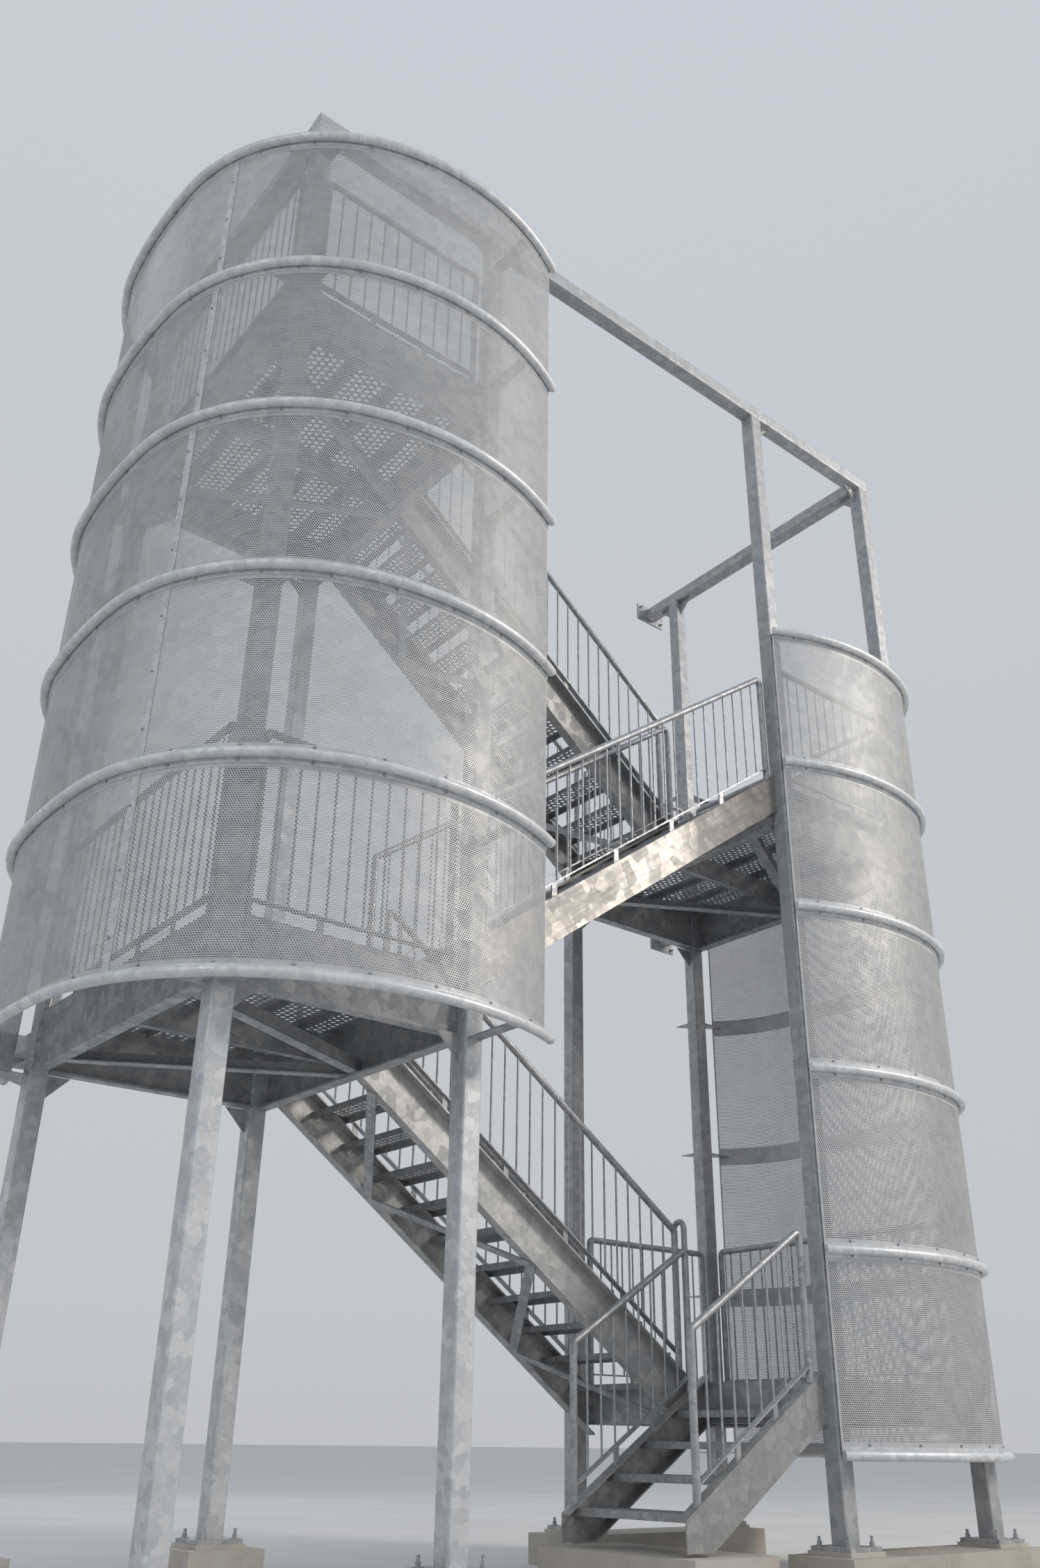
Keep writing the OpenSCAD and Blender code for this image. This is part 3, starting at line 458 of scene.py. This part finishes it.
def deck_piece(name, node, x0, s, L):
    A = Acc()
    xo = x0 + SIDE_IN if s > 0 else x0 + BAY - SIDE_IN
    ln = BAY - SIDE_IN
    n = int(math.ceil((ln - PLANK_END) / 347.0))
    ya, yb = LANE1[0], DEPTH - LANE1[0]
    for i in range(n + 1):
        a = 0.0 if i == 0 else PLANK_END + (i - 1) * 347.0
        b = min(ln, PLANK_END + i * 347.0)
        xa = xo + a if s > 0 else xo - b
        x_lo, x_hi = xa + 1.5, xa + (b - a) - 1.5
        wide = x_hi - x_lo
        nc = int((wide - 80.0) / COL)
        f0 = (x_lo + x_hi) / 2 - nc * COL / 2
        # cut round the posts
        cut_lo = cut_hi = None
        for px in (x0, x0 + BAY - W):
            if px - 3 < x_hi and px + W + 3 > x_lo:
                if px - 3 <= x_lo: cut_lo = px + W + 3
                else: cut_hi = px - 3
        q0, q1 = W + 3.0, YIN - 3.0
        if cut_lo is None and cut_hi is None: q0, q1 = ya + 40.0, yb - 40.0
        m = int((q1 - q0 - 60.0) / HP)
        h0 = (q0 + q1) / 2 - m * HP / 2; h1 = h0 + m * HP
        zt, zb = L, L - DECK_T
        field(A, lambda p, q: (p, q), f0, nc, COL, h0, h1, HP, HR, zt, zb)
        box_mm(A, x_lo, q0, zb, f0, q1, zt); box_mm(A, f0 + nc * COL, q0, zb, x_hi, q1, zt)
        box_mm(A, f0, q0, zb, f0 + nc * COL, h0, zt); box_mm(A, f0, h1, zb, f0 + nc * COL, q1, zt)
        e_lo = cut_lo if cut_lo is not None else x_lo
        e_hi = cut_hi if cut_hi is not None else x_hi
        box_mm(A, e_lo, ya, zb, e_hi, q0, zt); box_mm(A, e_lo, q1, zb, e_hi, yb, zt)
        ea, eb = ya + BF + 5, yb - BF - 5
        if i != (0 if s > 0 else n): box_mm(A, x_lo, ea, L - 50, x_lo + 4, eb, zb)
        if i != (n if s > 0 else 0): box_mm(A, x_hi - 4, ea, L - 50, x_hi, eb, zb)
    o = A.done(name, [M_TREAD], "perforated_tread")
    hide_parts(node)


deck_piece("planks_l1", "deck_l1", XR0, -1, L1)
deck_piece("planks_l2", "deck_l2", 0.0, 1, L2)
deck_piece("planks_l3", "deck_l3", XR0, -1, L3)
deck_piece("planks_l4", "deck_l4", 0.0, 1, L4)


def tread_piece(name, node, n, g, z0, xs, d, lane, u1):
    A = Acc()
    ya, yb = lane[0] + 10.0, lane[1] - 10.0
    for i in range(-1 if u1 > 0 else 0, n - 1):
        z = z0 + RISER * (i + 1)
        u = 26.0 if i < 0 else u1 + g * i
        ue = u1 if i < 0 else u + g
        a, b = u - 22.0, ue - 4.0
        nr = int((b - a - 60.0) / COL)
        f0 = (a + b) / 2 - nr * COL / 2
        m = int((yb - ya - 70.0) / HP)
        h0 = (ya + yb) / 2 - m * HP / 2; h1 = h0 + m * HP
        zt, zb = z, z - 5.0
        X = lambda p: xs + d * p
        field(A, (lambda p, q: (X(p), q)) if d > 0 else (lambda p, q: (X(p), ya + yb - q)), f0, nr, COL, h0, h1, HP, HR, zt, zb)
        box_mm(A, X(a), ya, zb, X(f0), yb, zt); box_mm(A, X(f0 + nr * COL), ya, zb, X(b), yb, zt)
        box_mm(A, X(f0), ya, zb, X(f0 + nr * COL), h0, zt); box_mm(A, X(f0), h1, zb, X(f0 + nr * COL), yb, zt)
        box_mm(A, X(a), ya, z - 42.0, X(a + 5), yb, zb); box_mm(A, X(b - 5), ya, z - 42.0, X(b), yb, zb)
        # end plates that bolt to the stringers
        for (y0, y1) in ((ya, ya + 4.0), (yb - 4.0, yb)):
            box_mm(A, X(a + 5), y0, z - 42.0, X(b - 5), y1, zb)
    o = A.done(name, [M_TREAD], "perforated_tread")
    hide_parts(node)


GO3 = RUN / 11; GO2 = (RUN - START_BACK) / 10; GO4 = (RUN - START_BACK) / 11
tread_piece("steps_f1", "treads_f1", 5, GOING1, 0.0, X_FOOT, 1, LANE1, 0.0)
tread_piece("steps_f2", "treads_f2", 11, GO2, L1, XR0, -1, LANE2, START_BACK)
tread_piece("steps_f3", "treads_f3", 12, GO3, L2, BAY, 1, LANE1, 0.0)
tread_piece("steps_f4", "treads_f4", 12, GO4, L3, XR0, -1, LANE2, START_BACK)


# ------------------------------------------------------------------ bolts
def basis(n):
    n = Vector(n).normalized()
    h = Vector((0, 0, 1)) if abs(n.z) < 0.9 else Vector((1, 0, 0))
    u = n.cross(h).normalized()
    return u, n.cross(u), n


def prism(A, p, n, r, h0, h1, k, top=True, cham=0.0, turn=0.0, bottom=False):
    """regular prism along n from h0 to h1 in millimetres, with a chamfered top"""
    u, v, n = basis(n)
    o = Vector(p)
    rings = [(r, h0), (r, h1 - cham)] + ([(r * 0.86, h1)] if cham else [])
    V = []
    for (rr, hh) in rings:
        for j in range(k):
            t = 2 * math.pi * j / k + turn
            q = o + n * hh + u * (rr * math.cos(t)) + v * (rr * math.sin(t))
            V.append(fr(q))
    F = []
    for a in range(len(rings) - 1):
        for j in range(k):
            l = (j + 1) % k
            F.append((a * k + j, a * k + l, (a + 1) * k + l, (a + 1) * k + j))
    last = (len(rings) - 1) * k
    if top: F.append(tuple(last + j for j in range(k)))
    if bottom: F.append(tuple(reversed(range(k))))
    A.add(V, F)


def bolt(A, p, n, af=24.0, turn=0.0):
    prism(A, p, n, af * 0.92, 0.0, af * 0.13, 14)
    prism(A, p, n, af * 0.577, af * 0.13, af * 0.13 + af * 0.62, 6, cham=af * 0.10, turn=turn)


def stud(A, p, n, af, d, up, turn=0.0):
    prism(A, p, n, af * 1.05, 0.0, 4.0, 14)
    prism(A, p, n, af * 0.577, 4.0, 4.0 + af * 0.8, 6, cham=af * 0.08, turn=turn)
    prism(A, p, n, d / 2, 4.0, up, 12, cham=1.5)


def ring_bolts(name, arcs, zl):
    A = Acc()
    pts = []
    for (c, r, a0, a1) in arcs:
        ln = abs(a1 - a0) * math.pi / 180 * r
        m = max(1, int(round(ln / 385.0)))
        for k in range(m): pts.append((c, r, a0 + (a1 - a0) * (k + 0.5) / m))
    for k in range(6):
        for sg in (-1, 1):
            if (k == 0 and sg < 0) or (k == 5 and sg > 0): continue  # the sheet ends here
            for j, (c, r, a) in enumerate(pts):
                n = (cosd(a), sind(a), 0.0)
                rr = r - IN1 if sg > 0 else r - RING_R + 1
                bolt(A, (c[0] + rr * n[0], c[1] + rr * n[1], zl + k * PITCH + (61.0 if sg > 0 else -36.0)), n, 12.0, 0.4 * j + k)
    return A


A = ring_bolts("ring_bolts_left", LEFT_FRONT + LEFT_SIDE, LOW_A)
for k in range(5):
    for z in (233, 607, 981):
        for da in (-0.45,):
            nn = (cosd(204 + da), sind(204 + da), 0.0)
            bolt(A, (CA[0] + (RB - IN1 + 5) * nn[0], CA[1] + (RB - IN1 + 5) * nn[1], LOW_A + k * PITCH + z), nn, 11.0, z)
A.done("ring_bolts_left", [M_BOLT], "galvanised_steel")
A = ring_bolts("ring_bolts_right", RIGHT_FRONT + RIGHT_SIDE, LOW_B)
for k in range(5):
    for z in (233, 607, 981):
        for da in (-0.6,):
            nn = (cosd(325 + da), sind(325 + da), 0.0)
            bolt(A, (CB[0] + (RE - IN1 + 5) * nn[0], CB[1] + (RE - IN1 + 5) * nn[1], LOW_B + k * PITCH + z), nn, 11.0, z)
A.done("ring_bolts_right", [M_BOLT], "galvanised_steel")

A = Acc()
# landing beams: two rows at each end of the front and back beams, and the side beams
for (x0, s, L, d) in ((XR0, -1, L1, 254.0), (0.0, 1, L2, 375.0), (XR0, -1, L3, 375.0), (0.0, 1, L4, 375.0)):
    z1 = L - DECK_T
    zz = [z1 - d * 0.30, z1 - d * 0.70] if d < 300 else [z1 - 80, z1 - 187, z1 - 295]
    for z in zz:
        for x in (x0 + W + 40, x0 + BAY - W - 40):
            bolt(A, (x, LANE1[0], z), (0, -1, 0), 24.0, z)
            bolt(A, (x, DEPTH - LANE1[0], z), (0, 1, 0), 24.0, z)
        xa = x0 + SIDE_IN if s > 0 else x0
        xb = x0 + BAY if s > 0 else x0 + BAY - SIDE_IN
        for y in (W + 42, YIN - 42):
            bolt(A, (xa, y, z), (-1, 0, 0), 24.0, z)
            bolt(A, (xb, y, z), (1, 0, 0), 24.0, z)
# knee plates under the top beam, struts and landing beams
for (x, sg) in ((XR0 + W, 1), (XR1 - W, -1), (BAY - W, -1), (BAY, 1), (W, 1)):
    for (dx, dz) in ((32, -72), (80, -30)):
        for ys in (-1, 1): bolt(A, (x + sg * dx, W / 2 + ys * 5, BEAM_Z + dz), (0, ys, 0), 19.0, dz)
# wall plates: nuts on the face of the plate
for (x, z, hx, hz) in ((W / 2, BEAM_Z + W / 2, 300, 120), (XR1 - W / 2, BEAM_Z + W / 2, 300, 120), (W / 2, L2 - 150, 230, 150), (W / 2, L4 - 150, 230, 150), (XR1 - W / 2, L3 - 150, 230, 150)):
    for i in (-1, 1):
        for j in (-1, 1): stud(A, (x + i * hx / 2, WALL_Y - 20, z + j * hz / 2), (0, -1, 0), 24.0, 16.0, 42.0, i + j)
# screen brackets: two bolts each, from below, at the posts and at the rings
for (low, spots) in ((LOW_A, ((-22, 62), (62, -22), (BAY - W + 40, -25), (BAY - 40, -25))), (LOW_B, ((XR1 + 22, 62), (XR1 - 62, -22), (XR0 + 45, -30), (XR0 + 100, -30)))):
    for k in range(6):
        for (x, y) in spots: bolt(A, (x, y, low + k * PITCH - 4.0), (0, 0, -1), 17.0, x)
A.done("frame_bolts", [M_BOLT], "galvanised_steel")

A = Acc()
for px in (0.0, BAY - W, XR0, XR1 - W):
    for py in (0.0, YIN):
        for i in (-1, 1):
            for j in (-1, 1):
                stud(A, (px + W / 2 + i * 112, py + W / 2 + j * 112, 0.0), (0, 0, 1), 28.0, 20.0, 46.0 + 6 * ((i * 3 + j) % 3), 0.6 * i + j)
A.done("anchor_studs", [M_BOLT], "galvanised_steel")


# ------------------------------------------------------------------ return bend between two guards
def swept(A, path, r, k=20):
    """round tube along a path of points in millimetres"""
    P = [Vector(p) for p in path]
    T = [(P[min(i + 1, len(P) - 1)] - P[max(i - 1, 0)]).normalized() for i in range(len(P))]
    u = T[0].orthogonal().normalized()
    V, F = [], []
    for i, p in enumerate(P):
        if i:
            q = T[i - 1].rotation_difference(T[i])
            u = (q @ u).normalized()
        v = T[i].cross(u).normalized()
        for j in range(k):
            t = 2 * math.pi * j / k
            V.append(fr(p + u * (r * math.cos(t)) + v * (r * math.sin(t))))
    for i in range(len(P) - 1):
        for j in range(k):
            l = (j + 1) % k
            F.append((i * k + j, i * k + l, (i + 1) * k + l, (i + 1) * k + j))
    A.add(V, F)


A = Acc()
xb = X_FOOT + 1034.0
za = RISER + RISER / GOING1 * 1034.0 + 40.0 + 920.0
x2 = XR0 - 150.0
zb2 = L1 + RISER + RISER / GO2 * (150.0 - START_BACK) - 70.0 + 920.0
ya_, yb_ = LANE1[1] - 30.0, LANE2[0] - 40.0
zt_ = max(za, zb2) + 8.0
rad = (yb_ - ya_) / 2
path = [(xb, ya_, za - 10.0)]
for k in range(6): path.append((xb + (x2 - xb) * 0.0, ya_, za - 10 + (zt_ - za + 10) * (k + 1) / 6))
for k in range(1, 25):
    t = math.pi * k / 24
    path.append((xb + (x2 - xb) * k / 24, (ya_ + yb_) / 2 - rad * math.cos(t), zt_ + rad * math.sin(t)))
path.append((x2, yb_, zb2 - 10.0))
swept(A, path, 21.0)
A.done("return_bend", [M_RAIL], "galvanised_rail", smooth=True)

# ------------------------------------------------------------------ materials of the CAD nodes
for n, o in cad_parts.items():
    if n == "posts_left": dress(n, M_POST_LIT)
    elif n in ("posts_right", "wall_struts"): dress(n, M_POST_SHADED)
    elif n == "top_beam": dress(n, M_TOP_LIT)
    elif n == "stringers_f3": dress(n, M_F3_SUNLIT)
    elif n == "stringers_f2": dress(n, M_STR_LIT)
    elif n.startswith("stringers_"): dress(n, M_STR_SHADED)
    elif n.startswith("frame_"): dress(n, M_BEAM)
    elif n.startswith(("guard", "guards")): dress(n, M_RAIL)
    elif n.startswith("rings"): dress(n, M_RING_HIGHLIT)
    elif n.startswith(("deck_", "treads_")): dress(n, M_TREAD)
    elif n.startswith("plinth") or n == "stair_foot_block": dress(n, M_CONC)
    elif n == "grout_pads": dress(n, M_GROUT)
    elif n == "seam_strips": dress(n, M_BAND)
    elif n.startswith("screen_left") or n.startswith("screen_right"): dress(n, M_SHEET_EDGE)
    else: dress(n, M_PLATE)

# ------------------------------------------------------------------ floor, light, camera
fm, nt, bs = nodes_of("floor_matte")
g = G(nt)
co = g.coord()
g.put(bs.inputs["Base Color"], g.ramp(g.noise(co, 0.6, 4.0), [(0.3, (0.60, 0.59, 0.575)), (0.7, (0.66, 0.65, 0.635))]))
bs.inputs["Roughness"].default_value = 0.9
me = bpy.data.meshes.new("floor")
me.from_pydata([(-400, -400, -0.002), (400, -400, -0.002), (400, 400, -0.002), (-400, 400, -0.002)], [], [(0, 1, 2, 3)])
me.materials.append(fm)
fo = bpy.data.objects.new("floor", me)
bpy.context.scene.collection.objects.link(fo)

w = bpy.data.worlds.new("studio")
bpy.context.scene.world = w
w.use_nodes = True
wg = G(w.node_tree)
wz = wg.sep(wg.vec("NORMALIZE", wg.coord("Generated")), 2)
wg.put(w.node_tree.nodes["Background"].inputs[0], wg.ramp(wg.rng(wz, -0.2, 1.0, 0.0, 1.0), [(0.0, (0.50, 0.505, 0.515)), (0.25, (0.58, 0.595, 0.62)), (1.0, (0.60, 0.65, 0.72))]))
w.node_tree.nodes["Background"].inputs[1].default_value = 0.95


def area(name, loc, target, size, power, col):
    d = bpy.data.lights.new(name, "AREA")
    d.shape = "DISK"; d.size = size; d.energy = power; d.color = col
    o = bpy.data.objects.new(name, d)
    bpy.context.scene.collection.objects.link(o)
    o.location = loc
    o.rotation_mode = "QUATERNION"
    o.rotation_quaternion = (Vector(target) - Vector(loc)).to_track_quat("-Z", "Y")
    return o


area("key", (12.0, -14.0, 12.5), (0, 0, 5.0), 5.0, 1850, (1.0, 0.925, 0.83))
area("fill", (-15.0, -7.0, 10.0), (0, 0, 4.0), 10.0, 250, (0.84, 0.91, 1.0))
area("back", (2.0, 15.0, 9.0), (0, 0, 4.0), 9.0, 220, (0.90, 0.94, 1.0))

cd = bpy.data.cameras.new("photo_camera")
cam = bpy.data.objects.new("photo_camera", cd)
bpy.context.scene.collection.objects.link(cam)
cd.sensor_fit = "AUTO"; cd.sensor_width = 36.0
cd.lens = 29.7946
cd.shift_x, cd.shift_y = -0.00738, 0.01000
cd.clip_start, cd.clip_end = 0.05, 2000.0
R = [(0.77303271, -0.63428564, 0.01010743), (-0.28944742, -0.33849528, 0.89534415), (0.56448262, 0.69505588, 0.44526026)]
M = Matrix.Identity(4)
for i in range(3):
    M[i][0] = R[0][i]; M[i][1] = R[1][i]; M[i][2] = -R[2][i]
M[0][3], M[1][3], M[2][3] = -5.739108, -6.985534, 0.781716
cam.matrix_world = M
bpy.context.scene.camera = cam
bpy.context.scene.view_settings.view_transform = "Standard"
if hasattr(bpy.context.scene, "cycles"):
    bpy.context.scene.cycles.transparent_max_bounces = 32
